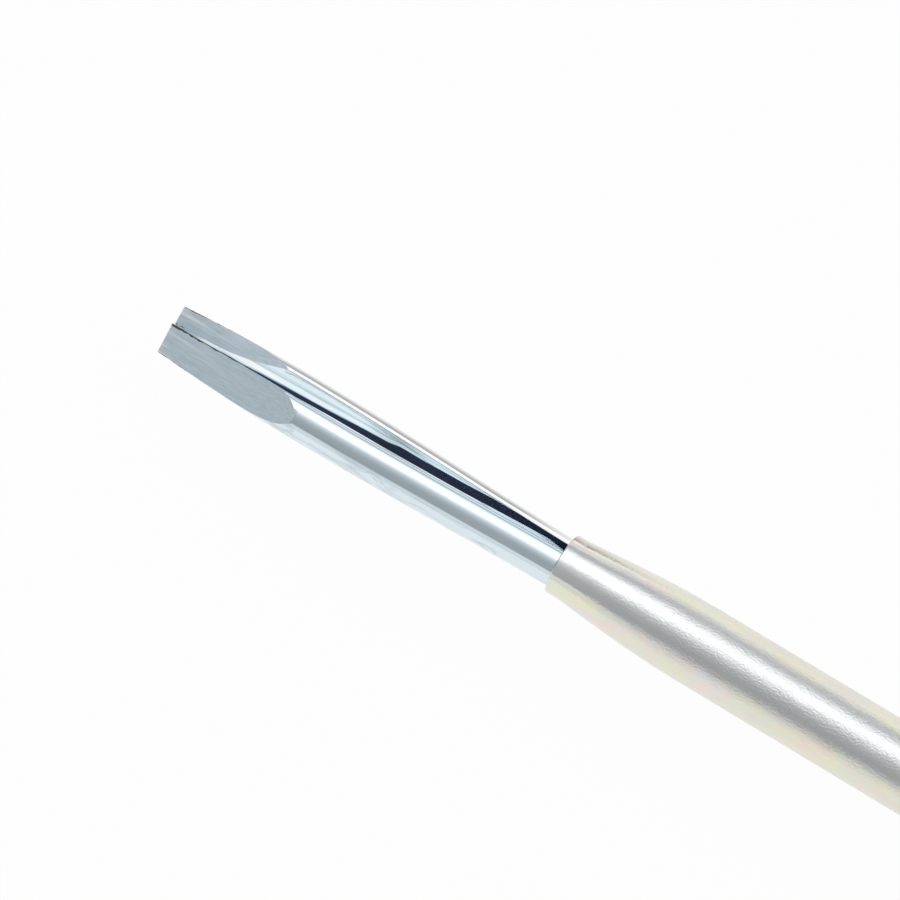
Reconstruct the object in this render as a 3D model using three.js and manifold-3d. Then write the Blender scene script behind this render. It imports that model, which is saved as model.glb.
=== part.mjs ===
// Screw-holding screwdriver: a split, sprung blade inside a sliding sleeve.
// Millimetres. The tool lies along X with its tip at -X, resting on a flat of its handle.
// Inside the model, x is the distance behind the blade tip and the tool axis is y = z = 0.
import * as THREE from 'three';
import { mergeVertices } from 'three/addons/utils/BufferGeometryUtils.js';
import Module from 'manifold-3d';

const wasm = await Module();
wasm.setup();

// Blade halves: half-round stock, sprung apart, with hollow-ground tips
const rodRadius = 2.33;
const tipGapOpen = 0.76; // between the inner flats at the tip, sleeve back
const tipGapClosed = 0.14; // the same with the sleeve pushed forward
const bowHeight = 0.82; // how far each half springs out beyond its straight line
const bowPeakX = 15;
const bowRootX = 51;
const tailReach = 10; // blade behind the anchor pin
const splitRoll = THREE.MathUtils.degToRad(-29); // split normal, measured from +Y towards +Z
const rolledEdge = 0.6; // round on one slot edge of the drawn half-round stock
const plainEdge = 0.12; // round on the other

// Ground flats: depth from the half's own centre line, direction from the split normal
const majorFlat = { tipDepth: 0.56, taper: 0.04, runOutX: 9, wheelRadius: 19, tipTurn: 149, endTurn: 149 };
const minorFlat = { tipDepth: 0.3, taper: 0, runOutX: 4.2, wheelRadius: 20, tipTurn: 324, endTurn: 300 };
const grindLength = 22; // reach of the grinding cuts behind the tip
const grindStations = 16;
const grindOvershoot = 1; // cut carried past the tip

// Sleeve: steel tube with a swaged nose
const mouthX = 44.8;
const noseClearance = 0.13;
const lipWall = 0.33;
const lipLength = 1.3;
const lipRound = 0.16;
const mouthChamfer = 0.12;
const swageLength = 14;
const tubeClearance = 0.4; // between the nose bore and the tube bore, on radius
const tubeWall = 0.9;
const sleeveTravel = 8;

// Finger grip: a flanged spool fixed to the sleeve by a slotted set screw
const gripFrontX = 91.5;
const gripLength = 18;
const gripFlangeRadius = 8.2;
const gripWaistRadius = 6.3;
const gripFlangeLength = 2.6;
const gripEdge = 0.7;
const gripBoreClearance = 0.12;
const scallopCount = 12;
const scallopRadius = 1.5;
const scallopDepth = 0.55;
const screwRadius = 1.4;
const screwClearance = 0.15;
const screwSink = 0.4; // screw end below the waist surface
const screwSlotWidth = 0.5;
const screwSlotDepth = 0.8;

// Ferrule, friction ring and stop ring at the front of the handle
const gripRestGap = 0.6; // grip to ferrule with the sleeve back
const ferruleWall = 5.2;
const ferruleSkirtLength = 12;
const ferruleSkirtWall = 1;
const ferruleEdge = 0.8;
const ferruleBoreClearance = 0.18;
const ringSection = 0.8; // radius of the rubber ring's section
const ringClearance = 0.12;
const stopRingThickness = 1;
const stopRingWidth = 1.7; // radial
const stopRingGapAngle = THREE.MathUtils.degToRad(50);
const stopGrooveDepth = 0.4;
const stopGrooveClearance = 0.12;
const stopClearance = 0.3; // stop ring to ferrule, sleeve fully forward
const tubeTail = 1.4; // tube behind the stop ring

// Anchor: a hexagonal steel plug in the handle, with a cross pin between the halves
const plugClearance = 0.6; // tube tail to plug, sleeve back
const plugFlats = 11; // across flats
const plugPinReach = 11; // plug front to pin
const plugFloor = 5;
const plugBoreClearance = 0.25;
const pinRadius = 1;
const pinGrooveClearance = 0.15;
const pinHoleClearance = 0.1;
const pinEndGap = 0.25;
const pressGap = 0.12; // drawn gap between pieces pressed together

// Handle: moulded, six flat lands with flutes between them
const handleLength = 113;
const handleBoreGap = 0.25; // hexagon corner to the round front bore
const neckWall = 1.7;
const handleFlatRadius = 12.6; // axis to a flat land
const handleCrownRadius = 14.2;
const collarRadius = 13;
const waistRadius = 10.4;
const buttFlatRadius = 7;
const buttRound = 5;
const collarReach = 5.5; // ferrule end to the collar's crown
const waistReach = 19;
const crownReach = 46;
const fluteCount = 6;
const fluteRadius = 4.6;
const fluteDepth = 2.1; // below the crown
const fluteFrontInset = 36; // ferrule end to a flute's front end
const fluteRearInset = 15; // butt to a flute's rear end

// Facets
const roundSides = 44;
const smallSides = 24;
const scallopSides = 12;
const bladeArcSteps = 22;
const bowStep = 2;
const edgeSteps = 3;
const swageSteps = 7;
const waistSteps = 8;
const handleSides = 60;
const handleSteps = 20;
const mergeTolerance = 1e-5;
const cutReach = 1; // how far cutting solids run past the faces that they cut

// Sizes that follow from the ones above
const closedHalfGap = tipGapClosed / 2;
const sweep = (tipGapOpen - tipGapClosed) / 2; // tip travel of each half
const noseLipX = mouthX + lipLength;
const gripRearX = gripFrontX + gripLength;
const ferruleFrontX = gripRearX + gripRestGap;
const stopFaceX = ferruleFrontX + ferruleWall;
const stopRingX = stopFaceX + stopClearance + sleeveTravel;
const stopRingRearX = stopRingX + stopRingThickness;
const tubeTailX = stopRingRearX + tubeTail;
const plugFrontX = tubeTailX + plugClearance;
const pinX = plugFrontX + plugPinReach;
const bladeTailX = pinX + tailReach;
const plugRearX = bladeTailX + plugFloor;

const noseBore = rodRadius + halfGap(mouthX) + noseClearance;
const lipRadius = noseBore + lipWall;
const tubeBore = noseBore + tubeClearance - noseClearance;
const tubeRadius = tubeBore + tubeWall;
const gripBore = tubeRadius + gripBoreClearance;
const ferruleBore = tubeRadius + ferruleBoreClearance;
const ringInner = tubeRadius + ringClearance;
const stopGrooveRadius = tubeRadius - stopGrooveDepth;
const plugCorner = plugFlats / 2 / Math.cos(Math.PI / 6);
const plugSocketFlats = plugFlats + 2 * pressGap;
const plugBore = rodRadius + closedHalfGap + plugBoreClearance;
const handleBore = plugCorner + pressGap + handleBoreGap;
const neckRadius = handleBore + neckWall;
const skirtBore = neckRadius + pressGap;
const skirtRadius = skirtBore + ferruleSkirtWall;
const handleFrontX = stopFaceX + pressGap;
const ferruleRearX = stopFaceX + ferruleSkirtLength;
const overallLength = handleFrontX + handleLength;

// Half of the gap between the inner flats: a straight spread from the pin, plus the sprung bow
function halfGap(x) {
  const spread = closedHalfGap + sweep * Math.max(1 - x / pinX, 0);
  return spread + bowHeight * bowShape(x);
}

function bowShape(x) {
  if (x <= bowPeakX) return Math.sin((x / bowPeakX) * (Math.PI / 2));
  if (x >= bowRootX) return 0;
  return (1 + Math.cos(((x - bowPeakX) / (bowRootX - bowPeakX)) * Math.PI)) / 2;
}

// Solids and geometries

function toSolid(geometry) {
  const bare = geometry.clone();
  bare.deleteAttribute('normal');
  bare.deleteAttribute('uv');
  const merged = mergeVertices(bare, mergeTolerance);
  const corners = [];
  const index = merged.index.array;
  for (let i = 0; i < index.length; i += 3) {
    const [a, b, c] = [index[i], index[i + 1], index[i + 2]];
    if (a !== b && b !== c && c !== a) corners.push(a, b, c);
  }
  if (enclosedVolume(merged.attributes.position, corners) < 0) corners.reverse();
  const vertProperties = new Float32Array(merged.attributes.position.array);
  const triVerts = new Uint32Array(corners);
  return new wasm.Manifold(new wasm.Mesh({ numProp: 3, vertProperties, triVerts }));
}

function enclosedVolume(position, corners) {
  const [a, b, c] = [new THREE.Vector3(), new THREE.Vector3(), new THREE.Vector3()];
  let volume = 0;
  for (let i = 0; i < corners.length; i += 3) {
    a.fromBufferAttribute(position, corners[i]);
    b.fromBufferAttribute(position, corners[i + 1]);
    c.fromBufferAttribute(position, corners[i + 2]);
    volume += a.dot(b.cross(c)) / 6;
  }
  return volume;
}

function toGeometry(solid) {
  const mesh = solid.getMesh();
  const geometry = new THREE.BufferGeometry();
  geometry.setAttribute('position', new THREE.BufferAttribute(new Float32Array(mesh.vertProperties), 3));
  geometry.setIndex(new THREE.BufferAttribute(new Uint32Array(mesh.triVerts), 1));
  geometry.computeVertexNormals();
  return geometry;
}

// A profile of [x, radius] pairs turned about the tool axis
function revolve(profile, sides) {
  const points = profile.map(([x, radius]) => new THREE.Vector2(radius, x));
  return toSolid(new THREE.LatheGeometry(points, sides).rotateZ(-Math.PI / 2));
}

// The same for a ring, whose profile closes on itself
function revolveRing(profile, sides) {
  return revolve([...profile, profile[0]], sides);
}

// A flat outline in the plane across the tool axis, carried from one x to another
function prism(shape, fromX, toX) {
  const geometry = new THREE.ExtrudeGeometry(shape, {
    depth: toX - fromX,
    bevelEnabled: false,
    curveSegments: smallSides,
  });
  return toSolid(geometry.rotateY(Math.PI / 2).translate(fromX, 0, 0));
}

function hexagon(acrossFlats) {
  const corner = acrossFlats / 2 / Math.cos(Math.PI / 6);
  const points = [];
  for (let i = 0; i < 6; i += 1) {
    const angle = ((i + 0.5) * Math.PI) / 3;
    points.push(new THREE.Vector2(corner * Math.cos(angle), corner * Math.sin(angle)));
  }
  return new THREE.Shape(points);
}

// Points on a quarter-round edge between two directions, as [x, radius] pairs
function roundEdge(centreX, centreRadius, round, fromAngle, toAngle) {
  const points = [];
  for (let i = 0; i <= edgeSteps; i += 1) {
    const angle = THREE.MathUtils.lerp(fromAngle, toAngle, i / edgeSteps);
    points.push([centreX + round * Math.cos(angle), centreRadius + round * Math.sin(angle)]);
  }
  return points;
}

// A solid skinned over matching rings of [x, y, z] points
function loft(rings) {
  const count = rings[0].length;
  const positions = rings.flat(2);
  const index = [];
  for (let r = 0; r + 1 < rings.length; r += 1) {
    for (let i = 0; i < count; i += 1) {
      const j = (i + 1) % count;
      const [a, b] = [r * count + i, r * count + j];
      index.push(a, b, b + count, a, b + count, a + count);
    }
  }
  const last = (rings.length - 1) * count;
  for (let i = 1; i + 1 < count; i += 1) {
    index.push(0, i + 1, i, last, last + i, last + i + 1);
  }
  const geometry = new THREE.BufferGeometry();
  geometry.setAttribute('position', new THREE.Float32BufferAttribute(positions, 3));
  geometry.setIndex(index);
  return toSolid(geometry);
}

// Blade halves. Both are the same piece, turned half round; y is the split normal here.

function bladeStations() {
  const stations = [];
  for (let x = 0; x < bowRootX; x += bowStep) stations.push(x);
  return [...stations, bowRootX, pinX, bladeTailX];
}

// Where the round of a slot edge runs into the stock's arc, measured from the split normal
function edgeReach(round) {
  return Math.acos(-round / (rodRadius - round));
}

function slotEdge(round, side) {
  const centreZ = Math.sqrt(rodRadius ** 2 - 2 * rodRadius * round);
  const points = [];
  for (let i = 0; i <= edgeSteps; i += 1) {
    const angle = (edgeReach(round) * i) / edgeSteps;
    points.push([round * (Math.cos(angle) - 1), side * (centreZ + round * Math.sin(angle))]);
  }
  return points;
}

function bladeSection() {
  const arc = [];
  for (let i = 1; i < bladeArcSteps; i += 1) {
    const share = i / bladeArcSteps;
    const angle = THREE.MathUtils.lerp(edgeReach(rolledEdge), 2 * Math.PI - edgeReach(plainEdge), share);
    arc.push([rodRadius * Math.cos(angle), rodRadius * Math.sin(angle)]);
  }
  return [...slotEdge(rolledEdge, 1), ...arc, ...slotEdge(plainEdge, -1).reverse()];
}

function bladeRing(x) {
  return bladeSection().map(([y, z]) => [x, y - halfGap(x), z]);
}

// What a grinding wheel takes off: straight from the tip, then running out on its radius
function grindingCut(flat) {
  const rings = [];
  const width = 2 * rodRadius;
  for (let i = 0; i <= grindStations; i += 1) {
    const x = THREE.MathUtils.lerp(-grindOvershoot, grindLength, i / grindStations);
    const runOut = Math.max(x - flat.runOutX, 0) ** 2 / (2 * flat.wheelRadius);
    const depth = flat.tipDepth + flat.taper * x + runOut;
    const turned = THREE.MathUtils.clamp(x / bowPeakX, 0, 1);
    const turn = THREE.MathUtils.degToRad(THREE.MathUtils.lerp(flat.tipTurn, flat.endTurn, turned));
    const out = new THREE.Vector2(Math.cos(turn), Math.sin(turn));
    const across = new THREE.Vector2(-out.y, out.x);
    const centre = new THREE.Vector2(-halfGap(Math.max(x, 0)), 0);
    const corner = (side, rise) => {
      const point = centre.clone().addScaledVector(out, depth + rise).addScaledVector(across, side);
      return [x, point.x, point.y];
    };
    rings.push([corner(-width, 0), corner(width, 0), corner(width, width), corner(-width, width)]);
  }
  return loft(rings);
}

function crossCylinder(radius, length) {
  const bar = new THREE.CylinderGeometry(radius, radius, length, smallSides);
  return bar.rotateX(Math.PI / 2).translate(pinX, 0, 0);
}

function bladeHalf() {
  const stock = loft(bladeStations().map(bladeRing));
  const pinGroove = toSolid(crossCylinder(pinRadius + pinGrooveClearance, 2 * (rodRadius + cutReach)));
  const ground = stock.subtract(grindingCut(majorFlat)).subtract(grindingCut(minorFlat));
  return toGeometry(ground.subtract(pinGroove));
}

// Sleeve

function swage(fromRadius, toRadius, fromX, length) {
  const points = [];
  for (let i = 0; i <= swageSteps; i += 1) {
    const share = i / swageSteps;
    const rise = Math.sin((share * Math.PI) / 2);
    points.push([fromX + share * length, THREE.MathUtils.lerp(fromRadius, toRadius, rise)]);
  }
  return points;
}

function sleeveTube() {
  const outside = [
    ...roundEdge(mouthX + lipRound, lipRadius - lipRound, lipRound, Math.PI, Math.PI / 2),
    ...swage(lipRadius, tubeRadius, noseLipX, swageLength),
    [stopRingX - stopGrooveClearance, tubeRadius],
    [stopRingX - stopGrooveClearance, stopGrooveRadius],
    [stopRingRearX + stopGrooveClearance, stopGrooveRadius],
    [stopRingRearX + stopGrooveClearance, tubeRadius],
    [tubeTailX, tubeRadius],
  ];
  const inside = [
    ...swage(noseBore, tubeBore, noseLipX, swageLength),
    [tubeTailX, tubeBore],
  ];
  const mouth = [[mouthX + mouthChamfer, noseBore], [mouthX, noseBore + mouthChamfer]];
  return toGeometry(revolveRing([...outside, ...inside.reverse(), ...mouth], roundSides));
}

// Finger grip

function gripProfile() {
  const waistFrom = gripFrontX + gripFlangeLength;
  const waistLength = gripLength - 2 * gripFlangeLength;
  const waist = [];
  for (let i = 0; i <= waistSteps; i += 1) {
    const share = i / waistSteps;
    const dip = Math.sin(share * Math.PI) * (gripFlangeRadius - gripWaistRadius);
    waist.push([waistFrom + share * waistLength, gripFlangeRadius - dip]);
  }
  return [
    [gripFrontX, gripBore],
    ...roundEdge(gripFrontX + gripEdge, gripFlangeRadius - gripEdge, gripEdge, Math.PI, Math.PI / 2),
    ...waist,
    ...roundEdge(gripRearX - gripEdge, gripFlangeRadius - gripEdge, gripEdge, Math.PI / 2, 0),
    [gripRearX, gripBore],
  ];
}

const screwX = gripFrontX + gripLength / 2;

// A round bar standing on the tool axis at the set screw's place, along +Z
function screwBar(radius, fromRadius, toRadius) {
  const bar = new THREE.CylinderGeometry(radius, radius, toRadius - fromRadius, smallSides);
  return toSolid(bar.rotateX(Math.PI / 2).translate(screwX, 0, (fromRadius + toRadius) / 2));
}

function fingerGrip() {
  let grip = revolveRing(gripProfile(), roundSides);
  grip = grip.subtract(screwBar(screwRadius + screwClearance, 0, gripFlangeRadius));
  const scallopLength = gripLength + 2 * cutReach;
  const scallop = new THREE.CylinderGeometry(scallopRadius, scallopRadius, scallopLength, scallopSides);
  scallop.rotateZ(Math.PI / 2).translate(screwX, 0, gripFlangeRadius + scallopRadius - scallopDepth);
  for (let i = 0; i < scallopCount; i += 1) {
    const turned = scallop.clone().rotateX(((i + 0.5) * 2 * Math.PI) / scallopCount);
    grip = grip.subtract(toSolid(turned));
  }
  return toGeometry(grip);
}

function gripSetScrew() {
  const top = gripWaistRadius - screwSink;
  const slot = new THREE.BoxGeometry(2 * screwRadius + cutReach, screwSlotWidth, 2 * screwSlotDepth);
  const body = screwBar(screwRadius, tubeRadius + gripBoreClearance, top);
  return toGeometry(body.subtract(toSolid(slot.translate(screwX, 0, top))));
}

// Handle front

const ringX = ferruleFrontX + ferruleWall / 2;
const ringGrooveHalf = ringSection + ringClearance;
const ringGrooveRadius = ringInner + 2 * ringSection + ringClearance;

function handleFerrule() {
  return toGeometry(revolveRing([
    [ferruleFrontX, ferruleBore],
    ...roundEdge(ferruleFrontX + ferruleEdge, skirtRadius - ferruleEdge, ferruleEdge, Math.PI, Math.PI / 2),
    [ferruleRearX, skirtRadius],
    [ferruleRearX, skirtBore],
    [stopFaceX, skirtBore],
    [stopFaceX, ferruleBore],
    [ringX + ringGrooveHalf, ferruleBore],
    [ringX + ringGrooveHalf, ringGrooveRadius],
    [ringX - ringGrooveHalf, ringGrooveRadius],
    [ringX - ringGrooveHalf, ferruleBore],
  ], roundSides));
}

function frictionRing() {
  const ring = new THREE.TorusGeometry(ringInner + ringSection, ringSection, smallSides / 2, roundSides);
  return toGeometry(toSolid(ring.rotateY(Math.PI / 2).translate(ringX, 0, 0)));
}

// An open snap ring; its inner edge sits in the tube's groove
function stopRing() {
  const inner = stopGrooveRadius + stopGrooveClearance;
  const half = stopRingGapAngle / 2;
  const shape = new THREE.Shape();
  shape.absarc(0, 0, inner + stopRingWidth, half, 2 * Math.PI - half, false);
  shape.absarc(0, 0, inner, 2 * Math.PI - half, half, true);
  return toGeometry(prism(shape, stopRingX, stopRingRearX));
}

// Anchor

function anchorPlug() {
  const bore = revolve([
    [plugFrontX - cutReach, 0],
    [plugFrontX - cutReach, plugBore],
    [bladeTailX + plugBoreClearance, plugBore],
    [bladeTailX + plugBoreClearance, 0],
  ], roundSides);
  const pinHole = toSolid(crossCylinder(pinRadius + pinHoleClearance, 2 * plugCorner));
  return toGeometry(prism(hexagon(plugFlats), plugFrontX, plugRearX).subtract(bore).subtract(pinHole));
}

function anchorPin() {
  return toGeometry(toSolid(crossCylinder(pinRadius, plugFlats - 2 * pinEndGap)));
}

// Handle

function handleProfile() {
  const buttX = overallLength;
  const crownEndX = buttX - buttRound;
  const grip = new THREE.SplineCurve([
    new THREE.Vector2(ferruleRearX + pressGap, skirtRadius),
    new THREE.Vector2(ferruleRearX + collarReach, collarRadius),
    new THREE.Vector2(ferruleRearX + waistReach, waistRadius),
    new THREE.Vector2(ferruleRearX + crownReach, handleCrownRadius),
    new THREE.Vector2(crownEndX, handleCrownRadius),
  ]);
  const swell = grip.getPoints(handleSteps).map((point) => [point.x, Math.min(point.y, handleCrownRadius)]);
  const butt = roundEdge(crownEndX, handleCrownRadius - buttRound, buttRound, Math.PI / 2, 0);
  return [
    [handleFrontX, 0],
    [handleFrontX, neckRadius],
    [ferruleRearX + pressGap, neckRadius],
    ...swell,
    ...butt.slice(1),
    [buttX, buttFlatRadius],
    [buttX, 0],
  ];
}

function handleGrip() {
  let handle = revolve(handleProfile(), handleSides);
  const lands = prism(hexagon(2 * handleFlatRadius), handleFrontX - cutReach, overallLength + cutReach);
  handle = handle.intersect(lands);
  const fluteFrom = ferruleRearX + fluteFrontInset;
  const fluteTo = overallLength - fluteRearInset;
  const straight = fluteTo - fluteFrom - 2 * fluteRadius;
  const flute = new THREE.CapsuleGeometry(fluteRadius, straight, smallSides / 4, smallSides);
  const fluteCentre = handleCrownRadius + fluteRadius - fluteDepth;
  flute.rotateZ(Math.PI / 2).translate((fluteFrom + fluteTo) / 2, 0, fluteCentre);
  for (let i = 0; i < fluteCount; i += 1) {
    const turned = flute.clone().rotateX(((i + 0.5) * 2 * Math.PI) / fluteCount);
    handle = handle.subtract(toSolid(turned));
  }
  const bore = revolve([
    [handleFrontX - cutReach, 0],
    [handleFrontX - cutReach, handleBore],
    [plugFrontX, handleBore],
    [plugFrontX, 0],
  ], roundSides);
  const socket = new THREE.ExtrudeGeometry(hexagon(plugSocketFlats), {
    depth: plugRearX + pressGap - plugFrontX + cutReach,
    bevelEnabled: false,
  });
  socket.rotateY(Math.PI / 2).translate(plugFrontX - cutReach, 0, 0).rotateX(splitRoll);
  return toGeometry(handle.subtract(bore).subtract(toSolid(socket)));
}

// Finishes

const finishes = {
  plating: { color: 0xc4cfd8, roughness: 0.12, metalness: 1 },
  zinc: { color: 0xcfcabc, roughness: 0.35, metalness: 1 },
  aluminium: { color: 0xc2c4c6, roughness: 0.35, metalness: 1 },
  steel: { color: 0xa9adb0, roughness: 0.3, metalness: 1 },
  spring: { color: 0x6c7075, roughness: 0.4, metalness: 1 },
  rubber: { color: 0x1b1b1d, roughness: 0.8, metalness: 0 },
  plastic: { color: 0x8c1a12, roughness: 0.25, metalness: 0 },
  moulded: { color: 0x1c1c1e, roughness: 0.5, metalness: 0 },
};

function piece(name, geometry, finish) {
  const mesh = new THREE.Mesh(geometry, new THREE.MeshStandardMaterial(finishes[finish]));
  mesh.name = name;
  return mesh;
}

const blade = bladeHalf();
const lowerHalf = piece('lower_blade_half', blade, 'plating');
const upperHalf = piece('upper_blade_half', blade.clone(), 'plating');
upperHalf.rotation.x = Math.PI;

// What is keyed to the split: the halves, their pin and the plug that holds them
const split = new THREE.Group();
split.rotation.x = splitRoll;
split.add(
  lowerHalf,
  upperHalf,
  piece('anchor_pin', anchorPin(), 'steel'),
  piece('anchor_plug', anchorPlug(), 'steel'),
);

const screwdriver = new THREE.Group();
screwdriver.add(
  split,
  piece('sleeve_tube', sleeveTube(), 'zinc'),
  piece('finger_grip', fingerGrip(), 'moulded'),
  piece('grip_set_screw', gripSetScrew(), 'steel'),
  piece('stop_ring', stopRing(), 'spring'),
  piece('handle_ferrule', handleFerrule(), 'aluminium'),
  piece('friction_ring', frictionRing(), 'rubber'),
  piece('handle_grip', handleGrip(), 'plastic'),
);
screwdriver.position.set(-overallLength / 2, 0, handleFlatRadius);

export default screwdriver;
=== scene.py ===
import bpy
import math
from mathutils import Matrix, Vector


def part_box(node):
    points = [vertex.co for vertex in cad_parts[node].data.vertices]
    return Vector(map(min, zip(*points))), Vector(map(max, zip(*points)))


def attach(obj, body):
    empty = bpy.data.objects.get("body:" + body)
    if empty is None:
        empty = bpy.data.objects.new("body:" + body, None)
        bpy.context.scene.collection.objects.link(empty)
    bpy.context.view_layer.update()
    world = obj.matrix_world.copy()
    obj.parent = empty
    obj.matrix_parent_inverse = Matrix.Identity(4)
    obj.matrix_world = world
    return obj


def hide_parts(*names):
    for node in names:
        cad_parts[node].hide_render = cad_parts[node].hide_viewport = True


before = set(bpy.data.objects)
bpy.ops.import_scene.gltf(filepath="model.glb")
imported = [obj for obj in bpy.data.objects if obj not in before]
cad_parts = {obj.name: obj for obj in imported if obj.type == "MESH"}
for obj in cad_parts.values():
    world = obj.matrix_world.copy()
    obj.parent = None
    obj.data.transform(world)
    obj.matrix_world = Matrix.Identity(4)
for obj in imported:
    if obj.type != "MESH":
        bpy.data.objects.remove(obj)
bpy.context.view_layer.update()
print("frame loaded,", len(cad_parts), "nodes")

mm = 0.001
mergeGap = 1e-6  # welds the seams that spin leaves
noiseSpan = (0.3, 0.7)  # most of a noise texture's values lie here

# places taken from the frame
tubeLow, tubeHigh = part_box("sleeve_tube")
tubeRadius = (tubeHigh.z - tubeLow.z) / 2
axisZ = (tubeLow.z + tubeHigh.z) / 2
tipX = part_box("lower_blade_half")[0].x
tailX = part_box("lower_blade_half")[1].x
pinX = sum(corner.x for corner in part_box("anchor_pin")) / 2

# the split between the blade halves leans across the tool
splitRoll = math.radians(-29)  # its normal, from +Y towards +Z
splitNormal = Vector((0, math.cos(splitRoll), math.sin(splitRoll)))
splitTangent = Vector((0, -math.sin(splitRoll), math.cos(splitRoll)))  # towards the upper slot edges


# modelling helpers

def clearSelection():
    if bpy.context.object and bpy.context.object.mode != "OBJECT":
        bpy.ops.object.mode_set(mode="OBJECT")
    bpy.ops.object.select_all(action="DESELECT")


def pickOnly(piece):
    clearSelection()
    piece.select_set(True)
    bpy.context.view_layer.objects.active = piece


def namePiece(name):
    piece = bpy.context.object
    piece.name = name
    piece.data.name = name
    bpy.ops.object.transform_apply(location=True, rotation=True, scale=True)
    return piece


def addCylinder(name, sides, radius, length, place, turn=(0, 0, 0)):
    clearSelection()
    bpy.ops.mesh.primitive_cylinder_add(
        vertices=sides, radius=radius, depth=length, location=place, rotation=turn)
    return namePiece(name)


def closeMesh():
    bpy.ops.mesh.select_all(action="SELECT")
    bpy.ops.mesh.normals_make_consistent(inside=False)
    bpy.ops.object.mode_set(mode="OBJECT")


# points are joined up from one vertex on, and the piece is left in edit mode
def startOutline(name, points):
    clearSelection()
    bpy.ops.mesh.primitive_plane_add(size=mm, location=points[0])
    piece = namePiece(name)
    bpy.ops.object.mode_set(mode="EDIT")
    bpy.ops.mesh.select_mode(type="VERT")
    bpy.ops.mesh.select_all(action="SELECT")
    bpy.ops.mesh.merge(type="CENTER")
    for start, end in zip(points, points[1:]):
        bpy.ops.mesh.extrude_region_move(TRANSFORM_OT_translate={"value": end - start})
    bpy.ops.mesh.select_all(action="SELECT")
    return piece


# a profile of (x, radius) points is spun about the tool's axis
def turnProfile(name, points, steps):
    piece = startOutline(name, [Vector((x, 0, axisZ + radius)) for x, radius in points])
    bpy.ops.mesh.spin(steps=steps, angle=2 * math.pi, center=(0, 0, axisZ), axis=(1, 0, 0))
    bpy.ops.mesh.select_all(action="SELECT")
    bpy.ops.mesh.remove_doubles(threshold=mergeGap)
    closeMesh()
    return piece


def arcPoints(centreX, centreRadius, radius, fromDegrees, toDegrees, steps=6):
    points = []
    for i in range(steps + 1):
        turn = math.radians(fromDegrees + (toDegrees - fromDegrees) * i / steps)
        points.append((centreX + radius * math.cos(turn), centreRadius + radius * math.sin(turn)))
    return points


def cutWith(piece, cutter):
    if not cutter.data.materials:
        cutter.data.materials.append(piece.data.materials[0])
    pickOnly(piece)
    cut = piece.modifiers.new("cut", "BOOLEAN")
    cut.operation = "DIFFERENCE"
    cut.solver = "EXACT"
    cut.material_mode = "TRANSFER"
    cut.object = cutter
    bpy.ops.object.modifier_apply(modifier=cut.name)
    bpy.data.objects.remove(cutter)


def fromAxis(point):
    return point - Vector((point.x, 0, axisZ))


# the lesser of two radii, with the corner between them rounded off
def softMin(a, b, blend):
    share = min(max(0.5 + 0.5 * (b - a) / blend, 0), 1)
    return b + (a - b) * share - blend * share * (1 - share)


# how far out a ray from the axis meets a round groove that runs along the tool
def grooveReach(centreRadius, grooveRadius, turn):
    inside = grooveRadius ** 2 - (centreRadius * math.sin(turn)) ** 2
    if inside <= 0:
        return None
    return centreRadius * math.cos(turn) - math.sqrt(inside)


def turnFromRepeat(turn, count, shift):
    pitch = 2 * math.pi / count
    return (turn - shift * pitch + pitch / 2) % pitch - pitch / 2


def alongTable(table, x):
    for (startX, start), (endX, end) in zip(table, table[1:]):
        if x < endX:
            return start + (end - start) * max(x - startX, 0) / (endX - startX)
    return table[-1][1]


def dress(piece, body, node, crease=32):
    pickOnly(piece)
    bpy.ops.object.shade_smooth_by_angle(angle=math.radians(crease))
    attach(piece, body)
    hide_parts(node)


# material helpers

# settings are a node's properties or its inputs, and an output given for an input is linked
def addNode(tree, kind, **settings):
    node = tree.nodes.new(kind)
    for key, value in settings.items():
        inputName = key.replace("_", " ")
        if hasattr(value, "is_output"):
            tree.links.new(value, node.inputs[inputName])
        elif hasattr(node, key):
            setattr(node, key, value)
        else:
            node.inputs[inputName].default_value = value
    return node


def addMath(tree, operation, first, second=None, clamp=False):
    node = addNode(tree, "ShaderNodeMath", operation=operation, use_clamp=clamp)
    for socket, value in zip(node.inputs, (first, second)):
        if isinstance(value, (int, float)):
            socket.default_value = value
        elif value is not None:
            tree.links.new(value, socket)
    return node.outputs[0]


def addRange(tree, value, fromLow, fromHigh, toLow, toHigh):
    node = addNode(tree, "ShaderNodeMapRange", Value=value, From_Min=fromLow, From_Max=fromHigh,
                   To_Min=toLow, To_Max=toHigh)
    return node.outputs["Result"]


def addRamp(tree, factor, stops):
    node = addNode(tree, "ShaderNodeValToRGB", Fac=factor)
    elements = node.color_ramp.elements
    while len(elements) < len(stops):
        elements.new(0.5)
    for element, (place, colour) in zip(elements, stops):
        element.position = place
        element.color = (*colour, 1)
    return node.outputs["Color"]


def addMix(tree, factor, first, second, blend="MIX"):
    node = addNode(tree, "ShaderNodeMix", data_type="RGBA", blend_type=blend)
    sockets = (node.inputs[0], node.inputs[6], node.inputs[7])
    for socket, value in zip(sockets, (factor, first, second)):
        if hasattr(value, "is_output"):
            tree.links.new(value, socket)
        else:
            socket.default_value = (*value, 1)
    return node.outputs[2]


def addAxes(tree, place):
    return addNode(tree, "ShaderNodeSeparateXYZ", Vector=place).outputs


def addNoise(tree, place, **settings):
    return addNode(tree, "ShaderNodeTexNoise", Vector=place, **settings).outputs["Fac"]


def addStretch(tree, place, scale):
    return addNode(tree, "ShaderNodeMapping", Vector=place, Scale=scale).outputs["Vector"]


def addAttribute(tree, name):
    return addNode(tree, "ShaderNodeAttribute", attribute_name=name).outputs["Fac"]


def objectPlace(tree):
    return addNode(tree, "ShaderNodeTexCoord").outputs["Object"]


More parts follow.
